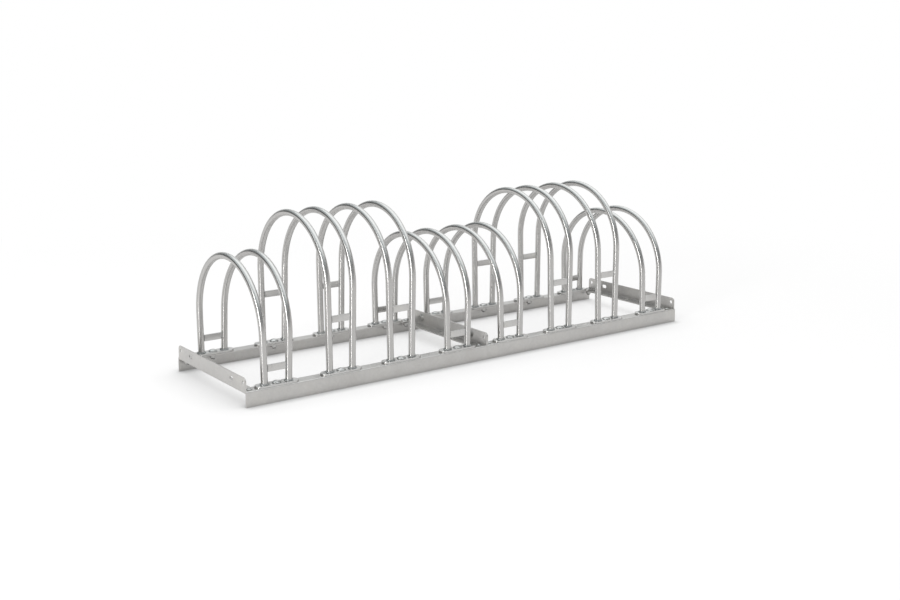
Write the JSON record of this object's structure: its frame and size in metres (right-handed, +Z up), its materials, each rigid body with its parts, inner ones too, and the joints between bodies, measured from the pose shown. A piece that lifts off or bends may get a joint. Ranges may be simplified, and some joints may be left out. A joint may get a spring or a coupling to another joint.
{
  "type": "two tier bike rack",
  "caption": "Free-standing double-sided bicycle rack of bent steel angle with pairs of tube hoops at two heights, made of modules bolted end to end.",
  "frame": {"origin": "on the floor under the middle of the rack", "axes": "+X along the row of wheel places, +Y from the front rail to the back rail, +Z up"},
  "size_m": [1.5, 0.4, 0.446],
  "materials": {
    "zinc_angle": "zinc plated, matt satin",
    "zinc_tube": "zinc plated, bright satin with long highlights",
    "zinc_flat": "zinc plated, satin",
    "zinc_bolt": "zinc plated, bright"
  },
  "bodies": {
    "root": {"rail_front_1": "zinc_angle", "rail_back_1": "zinc_angle", "cross_member_left_1": "zinc_angle", "cross_member_right_1": "zinc_angle", "rail_front_2": "zinc_angle", "rail_back_2": "zinc_angle", "cross_member_left_2": "zinc_angle", "cross_member_right_2": "zinc_angle", "hoop_low_1_left": "zinc_tube", "hoop_low_1_right": "zinc_tube", "spacer_front_1": "zinc_flat", "foot_plate_front_1": "zinc_flat", "spacer_back_1": "zinc_flat", "foot_plate_back_1": "zinc_flat", "hoop_high_2_left": "zinc_tube", "hoop_high_2_right": "zinc_tube", "spacer_front_2": "zinc_flat", "foot_plate_front_2": "zinc_flat", "spacer_back_2": "zinc_flat", "foot_plate_back_2": "zinc_flat", "hoop_high_3_left": "zinc_tube", "hoop_high_3_right": "zinc_tube", "spacer_front_3": "zinc_flat", "foot_plate_front_3": "zinc_flat", "spacer_back_3": "zinc_flat", "foot_plate_back_3": "zinc_flat", "hoop_low_4_left": "zinc_tube", "hoop_low_4_right": "zinc_tube", "spacer_front_4": "zinc_flat", "foot_plate_front_4": "zinc_flat", "spacer_back_4": "zinc_flat", "foot_plate_back_4": "zinc_flat", "hoop_low_5_left": "zinc_tube", "hoop_low_5_right": "zinc_tube", "spacer_front_5": "zinc_flat", "foot_plate_front_5": "zinc_flat", "spacer_back_5": "zinc_flat", "foot_plate_back_5": "zinc_flat", "hoop_high_6_left": "zinc_tube", "hoop_high_6_right": "zinc_tube", "spacer_front_6": "zinc_flat", "foot_plate_front_6": "zinc_flat", "spacer_back_6": "zinc_flat", "foot_plate_back_6": "zinc_flat", "hoop_high_7_left": "zinc_tube", "hoop_high_7_right": "zinc_tube", "spacer_front_7": "zinc_flat", "foot_plate_front_7": "zinc_flat", "spacer_back_7": "zinc_flat", "foot_plate_back_7": "zinc_flat", "hoop_low_8_left": "zinc_tube", "hoop_low_8_right": "zinc_tube", "spacer_front_8": "zinc_flat", "foot_plate_front_8": "zinc_flat", "spacer_back_8": "zinc_flat", "foot_plate_back_8": "zinc_flat", "joining_bolt_front_1": "zinc_bolt", "joining_nut_front_1": "zinc_bolt", "joining_bolt_back_1": "zinc_bolt", "joining_nut_back_1": "zinc_bolt"}
  },
  "joints": []
}
